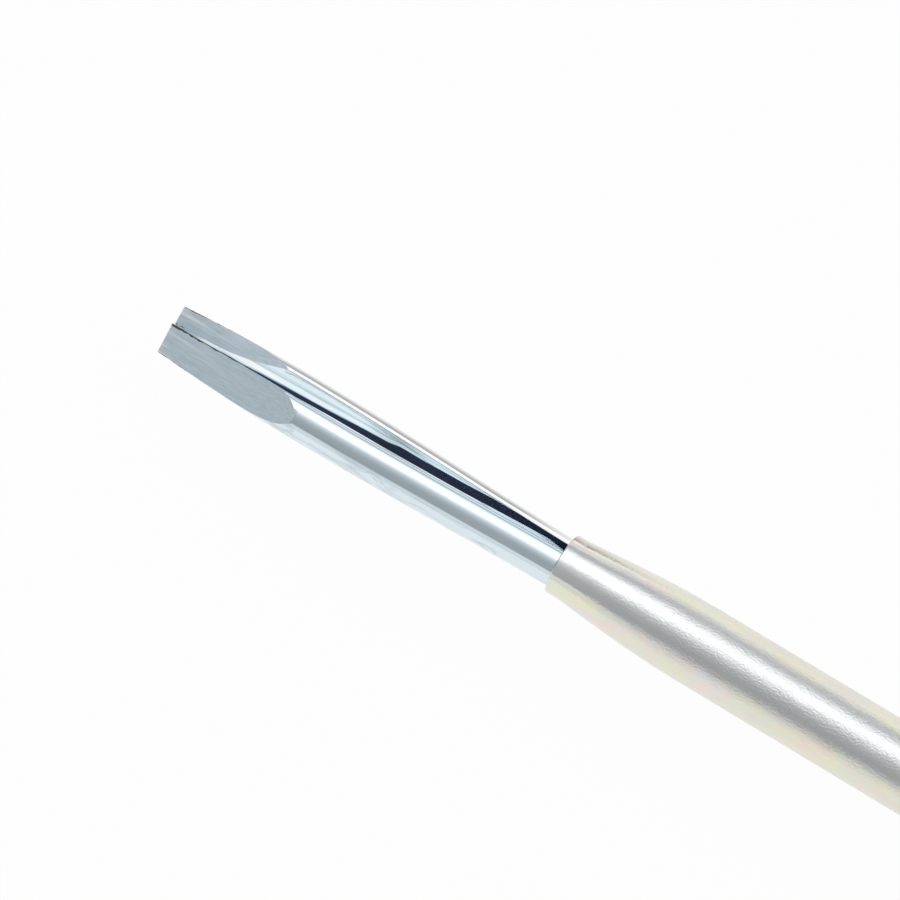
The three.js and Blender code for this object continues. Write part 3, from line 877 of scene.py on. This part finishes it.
fingerGrip = {
    "flangeRadius": 8.2 * mm, "flangeLength": 2.6 * mm, "waistRadius": 6.3 * mm, "edgeRound": 0.7 * mm,
    "edgeSteps": 8, "waistSteps": 48, "steps": 300, "boreClearance": 0.12 * mm, "scallops": 12,
    "scallopRadius": 1.5 * mm, "scallopDepth": 0.55 * mm, "blend": 0.3 * mm, "screwHole": 1.55 * mm,
    "holeSides": 48, "crease": 40,
}


def gripPoints(low, high, bore):
    flange = fingerGrip["flangeRadius"]
    edge = fingerGrip["edgeRound"]
    waistFrom = low.x + fingerGrip["flangeLength"]
    waistLength = high.x - low.x - 2 * fingerGrip["flangeLength"]
    waist = []
    for i in range(fingerGrip["waistSteps"] + 1):
        share = i / fingerGrip["waistSteps"]
        dip = math.sin(share * math.pi) * (flange - fingerGrip["waistRadius"])
        waist.append((waistFrom + share * waistLength, flange - dip))
    return [
        (low.x, bore),
        *arcPoints(low.x + edge, flange - edge, edge, 180, 90, fingerGrip["edgeSteps"]),
        *waist,
        *arcPoints(high.x - edge, flange - edge, edge, 90, 0, fingerGrip["edgeSteps"]),
        (high.x, bore),
        (low.x, bore),
    ]


def makeFingerGrip():
    low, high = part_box("finger_grip")
    bore = tubeRadius + fingerGrip["boreClearance"]
    grip = turnProfile("fingerGrip", gripPoints(low, high, bore), fingerGrip["steps"])
    grip.data.materials.append(blackPlastic)
    flange = fingerGrip["flangeRadius"]
    centre = flange + fingerGrip["scallopRadius"] - fingerGrip["scallopDepth"]
    for vertex in grip.data.vertices:
        y, z = vertex.co.y, vertex.co.z - axisZ
        radius = math.hypot(y, z)
        turn = turnFromRepeat(math.atan2(y, z), fingerGrip["scallops"], 0.5)
        reach = grooveReach(centre, fingerGrip["scallopRadius"], turn)
        if reach is None or radius < bore + fingerGrip["edgeRound"]:
            continue
        scale = softMin(radius, reach, fingerGrip["blend"]) / radius
        vertex.co.y = y * scale
        vertex.co.z = axisZ + z * scale
    screwLow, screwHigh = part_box("grip_set_screw")
    holePlace = ((screwLow.x + screwHigh.x) / 2, 0, axisZ + flange)
    hole = addCylinder("screwHole", fingerGrip["holeSides"], fingerGrip["screwHole"], 2 * flange, holePlace)
    cutWith(grip, hole)
    return grip


setScrew = {
    "radius": 1.4 * mm, "edgeRound": 0.15 * mm, "edgeSteps": 3, "slotWidth": 0.5 * mm, "slotDepth": 0.8 * mm,
    "sides": 48,
}


def makeSetScrew():
    low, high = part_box("grip_set_screw")
    centreX = (low.x + high.x) / 2
    screw = addCylinder("gripSetScrew", setScrew["sides"], setScrew["radius"], high.z - low.z,
                        (centreX, 0, (low.z + high.z) / 2))
    screw.data.materials.append(spring)
    clearSelection()
    bpy.ops.mesh.primitive_cube_add(size=1, location=(centreX, 0, high.z))
    slot = bpy.context.object
    slot.scale = (4 * setScrew["radius"], setScrew["slotWidth"], 2 * setScrew["slotDepth"])
    cutWith(screw, namePiece("screwSlot"))
    pickOnly(screw)
    easing = screw.modifiers.new("edges", "BEVEL")
    easing.width = setScrew["edgeRound"]
    easing.segments = setScrew["edgeSteps"]
    easing.limit_method = "ANGLE"
    bpy.ops.object.modifier_apply(modifier=easing.name)
    return screw


grip = makeFingerGrip()
dress(grip, "sleeve", "finger_grip", fingerGrip["crease"])
screw = makeSetScrew()
dress(screw, "sleeve", "grip_set_screw")
print("finger grip ready")


# ferrule: turned cap over the handle's neck

ferruleCap = {
    "edgeRound": 0.8 * mm, "edgeSteps": 8, "rearRound": 0.25 * mm, "skirtWall": 1.0 * mm,
    "frontWall": 5.2 * mm, "boreClearance": 0.18 * mm, "ringClearance": 0.12 * mm, "lineInset": 2.2 * mm,
    "lineWidth": 0.5 * mm, "lineDepth": 0.25 * mm, "steps": 200,
}


def makeFerrule():
    low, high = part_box("handle_ferrule")
    radius = (high.z - low.z) / 2
    bore = tubeRadius + ferruleCap["boreClearance"]
    edge = ferruleCap["edgeRound"]
    rear = ferruleCap["rearRound"]
    skirtBore = radius - ferruleCap["skirtWall"]
    stopFace = low.x + ferruleCap["frontWall"]
    ringLow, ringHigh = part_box("friction_ring")
    seatFrom = ringLow.x - ferruleCap["ringClearance"]
    seatTo = ringHigh.x + ferruleCap["ringClearance"]
    seatRadius = (ringHigh.z - ringLow.z) / 2 + ferruleCap["ringClearance"]
    lineTo = high.x - ferruleCap["lineInset"]
    lineFrom = lineTo - ferruleCap["lineWidth"]
    points = [
        (low.x, bore),
        *arcPoints(low.x + edge, radius - edge, edge, 180, 90, ferruleCap["edgeSteps"]),
        (lineFrom, radius), ((lineFrom + lineTo) / 2, radius - ferruleCap["lineDepth"]), (lineTo, radius),
        *arcPoints(high.x - rear, radius - rear, rear, 90, 0),
        (high.x, skirtBore), (stopFace, skirtBore), (stopFace, bore),
        (seatTo, bore), (seatTo, seatRadius), (seatFrom, seatRadius), (seatFrom, bore),
        (low.x, bore),
    ]
    ferrule = turnProfile("handleFerrule", points, ferruleCap["steps"])
    ferrule.data.materials.append(aluminium)
    return ferrule


ferrule = makeFerrule()
dress(ferrule, "handle", "handle_ferrule")
print("ferrule ready")


# handle: moulded grip with six flat lands and flutes between them

handleGrip = {
    "flatRadius": 12.6 * mm, "crownRadius": 14.2 * mm, "collarRadius": 13 * mm, "waistRadius": 10.4 * mm,
    "collarReach": 5.5 * mm, "waistReach": 19 * mm, "crownReach": 46 * mm, "frontRound": 0.35 * mm,
    "buttRound": 5 * mm, "buttSteps": 14, "buttFlat": 7 * mm, "neckGap": 0.12 * mm, "boreRadius": 6.72 * mm,
    "flutes": 6, "fluteRadius": 4.6 * mm, "fluteDepth": 2.1 * mm, "fluteFront": 36 * mm,
    "fluteRear": 15 * mm, "blend": 0.55 * mm, "gateRadius": 1.6 * mm, "gateRim": 1.92 * mm,
    "gateDepth": 0.35 * mm, "swellSteps": 36, "steps": 240, "crease": 40,
}


# a smooth curve through the grip's main radii
def swellRadius(x, knots):
    index = max(i for i in range(len(knots) - 1) if x >= knots[i][0])
    before = knots[max(index - 1, 0)][1]
    start, end = knots[index], knots[index + 1]
    after = knots[min(index + 2, len(knots) - 1)][1]
    share = min((x - start[0]) / (end[0] - start[0]), 1)
    leave = (end[1] - before) / 2
    arrive = (after - start[1]) / 2
    square, cube = share ** 2, share ** 3
    radius = (2 * cube - 3 * square + 1) * start[1] + (cube - 2 * square + share) * leave
    radius += (3 * square - 2 * cube) * end[1] + (cube - square) * arrive
    return min(radius, handleGrip["crownRadius"])


def handlePoints(low, high, ferruleRear, skirtRadius):
    grip = handleGrip
    neck = skirtRadius - ferruleCap["skirtWall"] - grip["neckGap"]
    frontX = ferruleRear + grip["neckGap"]
    crown, buttRound = grip["crownRadius"], grip["buttRound"]
    crownEnd = high.x - buttRound
    knots = [
        (frontX, skirtRadius),
        (ferruleRear + grip["collarReach"], grip["collarRadius"]),
        (ferruleRear + grip["waistReach"], grip["waistRadius"]),
        (ferruleRear + grip["crownReach"], crown),
        (crownEnd, crown),
    ]
    swell = []
    for (startX, _), (endX, _) in zip(knots, knots[1:]):
        for i in range(grip["swellSteps"]):
            x = startX + (endX - startX) * i / grip["swellSteps"]
            swell.append((x, swellRadius(x, knots)))
    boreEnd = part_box("anchor_plug")[1].x + grip["neckGap"]
    gateFloor = high.x - grip["gateDepth"]
    return [
        (boreEnd, 0), (boreEnd, grip["boreRadius"]), (low.x, grip["boreRadius"]),
        (low.x, neck), (frontX, neck), (frontX, skirtRadius - grip["frontRound"]),
        *swell[1:],
        *arcPoints(crownEnd, crown - buttRound, buttRound, 90, 0, grip["buttSteps"]),
        (high.x, grip["buttFlat"]), (high.x, grip["gateRim"]),
        (gateFloor, grip["gateRadius"]), (gateFloor, 0),
    ]


def makeHandle():
    low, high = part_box("handle_grip")
    ferruleLow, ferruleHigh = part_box("handle_ferrule")
    skirtRadius = (ferruleHigh.z - ferruleLow.z) / 2
    points = handlePoints(low, high, ferruleHigh.x, skirtRadius)
    handle = turnProfile("handleGrip", points, handleGrip["steps"])
    handle.data.materials.append(redPlastic)
    flutes, blend = handleGrip["flutes"], handleGrip["blend"]
    fluteRadius = handleGrip["fluteRadius"]
    fluteCentre = handleGrip["crownRadius"] + fluteRadius - handleGrip["fluteDepth"]
    straightFrom = ferruleHigh.x + handleGrip["fluteFront"] + fluteRadius
    straightTo = high.x - handleGrip["fluteRear"] - fluteRadius
    for vertex in handle.data.vertices:
        y, z = vertex.co.y, vertex.co.z - axisZ
        radius = math.hypot(y, z)
        inFerrule = radius < skirtRadius and vertex.co.x < ferruleHigh.x + handleGrip["collarReach"]
        if inFerrule or radius < handleGrip["buttFlat"]:
            continue
        around = math.atan2(y, z)
        flat = handleGrip["flatRadius"] / math.cos(turnFromRepeat(around, flutes, 0))
        shaped = softMin(radius, flat, blend)
        past = max(straightFrom - vertex.co.x, vertex.co.x - straightTo, 0)
        if past < fluteRadius:
            section = math.sqrt(fluteRadius ** 2 - past ** 2)
            reach = grooveReach(fluteCentre, section, turnFromRepeat(around, flutes, 0.5))
            if reach is not None:
                shaped = softMin(shaped, reach, blend)
        vertex.co.y = y * shaped / radius
        vertex.co.z = axisZ + z * shaped / radius
    return handle


handle = makeHandle()
dress(handle, "handle", "handle_grip", handleGrip["crease"])
print("handle ready")

# pieces inside the tool keep their solids
insideFinishes = {"anchor_pin": bright, "anchor_plug": bright, "stop_ring": spring, "friction_ring": rubber}
for nodeName, finish in insideFinishes.items():
    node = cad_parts[nodeName]
    node.data.materials.clear()
    node.data.materials.append(finish)
print("inner pieces ready")


# studio: pale floor, soft overhead light and pale walls

studioFloor = {
    "size": 4.0, "colour": (0.9, 0.9, 0.9), "glow": 0.96, "mirroredGlow": 0.9, "mirroredLevel": 1.0,
    "dimming": 0.58, "stripNear": (8 * mm, 45 * mm), "stripFar": (250 * mm, 700 * mm), "stripEnd": 4 * mm,
    "stripLean": 0.2,
}


def makeFloor():
    clearSelection()
    bpy.ops.mesh.primitive_plane_add(size=studioFloor["size"], location=(0, 0, 0))
    floor = namePiece("studioFloor")
    material, tree, shader, place = startMaterial("studioFloor")
    shader.inputs["Base Color"].default_value = (*studioFloor["colour"], 1)
    shader.inputs["Roughness"].default_value = 1
    shader.inputs["Specular IOR Level"].default_value = 0
    rays = addNode(tree, "ShaderNodeLightPath").outputs
    mirrored = addMath(tree, "MAXIMUM", rays["Is Glossy Ray"], rays["Is Transmission Ray"])
    mirrored = addMath(tree, "MULTIPLY", mirrored, studioFloor["mirroredGlow"])
    seen = addMath(tree, "MULTIPLY", rays["Is Camera Ray"], studioFloor["glow"])
    seen = addMath(tree, "MAXIMUM", seen, mirrored)
    # metal sees a dimmer strip of floor behind the blade
    axes = addAxes(tree, place)
    strip = addMath(tree, "MULTIPLY", addRange(tree, axes["Y"], *studioFloor["stripNear"], 0, 1),
                    addRange(tree, axes["Y"], *studioFloor["stripFar"], 1, 0))
    ahead = addMath(tree, "MULTIPLY", axes["Y"], studioFloor["stripLean"])
    ahead = addMath(tree, "ADD", axes["X"], ahead)
    stripFrom, stripTo = tubeLow.x - studioFloor["stripEnd"], tubeLow.x + studioFloor["stripEnd"]
    strip = addMath(tree, "MULTIPLY", strip, addRange(tree, ahead, stripFrom, stripTo, 1, 0))
    dimLevel = studioFloor["mirroredLevel"] - studioFloor["dimming"]
    level = addRange(tree, strip, 0, 1, studioFloor["mirroredLevel"], dimLevel)
    glow = addNode(tree, "ShaderNodeEmission")
    tree.links.new(addMath(tree, "MAXIMUM", rays["Is Camera Ray"], level), glow.inputs["Strength"])
    blendShaders(tree, "OUTPUT_MATERIAL", seen, shader, glow)
    floor.data.materials.append(material)


# light level by lean from overhead, in degrees towards +Y
studioLight = {
    "levels": [
        (-90, 0.82), (-72, 0.84), (-67, 0.42), (-60, 0.42), (-42, 0.44), (-32, 0.48), (-23, 0.58),
        (-13, 0.76), (-4, 1.1), (3, 1.5), (20, 1.5), (28, 1.2), (37, 0.95), (46, 0.58), (58, 0.5),
        (63, 0.82), (78, 0.92), (84, 1.15), (90, 1.15),
    ],
    "peak": 1.5, "tint": (0.97, 1.0, 1.02), "endsSpan": (0.55, 0.9), "endsLevel": 0.35,
}


def makeLight():
    world = bpy.data.worlds.new("studio")
    bpy.context.scene.world = world
    world.use_nodes = True
    tree = world.node_tree
    sky = next(node for node in tree.nodes if node.type == "BACKGROUND")
    axes = addAxes(tree, addNode(tree, "ShaderNodeTexCoord").outputs["Generated"])
    lean = addMath(tree, "ARCTAN2", axes["Y"], axes["Z"])
    peak = studioLight["peak"]
    stops = []
    for degrees, level in studioLight["levels"]:
        stops.append(((degrees + 90) / 180, [level / peak * tint for tint in studioLight["tint"]]))
    place = addRange(tree, lean, -math.pi / 2, math.pi / 2, 0, 1)
    tree.links.new(addRamp(tree, place, stops), sky.inputs["Color"])
    # both ends of the room are dimmer than its sides
    towardsEnds = addMath(tree, "ABSOLUTE", axes["X"])
    ends = addRange(tree, towardsEnds, *studioLight["endsSpan"], peak, peak * studioLight["endsLevel"])
    tree.links.new(ends, sky.inputs["Strength"])
    backdrop = addNode(tree, "ShaderNodeBackground", Color=(1, 1, 1, 1), Strength=1.0)
    rays = addNode(tree, "ShaderNodeLightPath").outputs
    blendShaders(tree, "OUTPUT_WORLD", rays["Is Camera Ray"], sky, backdrop)


# camera at the photograph's angle: steeply above the tool, turned so that it runs down to the right

view = {
    "elevation": math.radians(73), "yaw": math.radians(11), "roll": math.radians(30.92), "distance": 0.55,
    "fieldWidth": 86.6 * mm, "alongTool": 29.77 * mm, "acrossTool": 3.805 * mm, "sensor": 36,
    "clipStart": 0.01,
}


def makeCamera():
    along = Vector((1, 0, 0))
    above = Vector((0, -math.cos(view["elevation"]), math.sin(view["elevation"])))
    across = Vector((0, math.sin(view["elevation"]), math.cos(view["elevation"])))
    toViewer = above * math.cos(view["yaw"]) + along * math.sin(view["yaw"])
    level = (along - toViewer * math.sin(view["yaw"])) / math.cos(view["yaw"])
    right = level * math.cos(view["roll"]) + across * math.sin(view["roll"])
    up = across * math.cos(view["roll"]) - level * math.sin(view["roll"])
    target = Vector((tipX, 0, axisZ)) + along * view["alongTool"] + across * view["acrossTool"]
    clearSelection()
    bpy.ops.object.camera_add()
    camera = bpy.context.object
    camera.data.sensor_width = view["sensor"]
    camera.data.lens = view["sensor"] * view["distance"] / view["fieldWidth"]
    camera.data.clip_start = view["clipStart"]
    turn = Matrix((right, up, toViewer)).transposed().to_4x4()
    camera.matrix_world = Matrix.Translation(target + toViewer * view["distance"]) @ turn
    bpy.context.scene.camera = camera


makeFloor()
makeLight()
makeCamera()
bpy.context.scene.view_settings.view_transform = "Standard"
print("studio and camera ready")
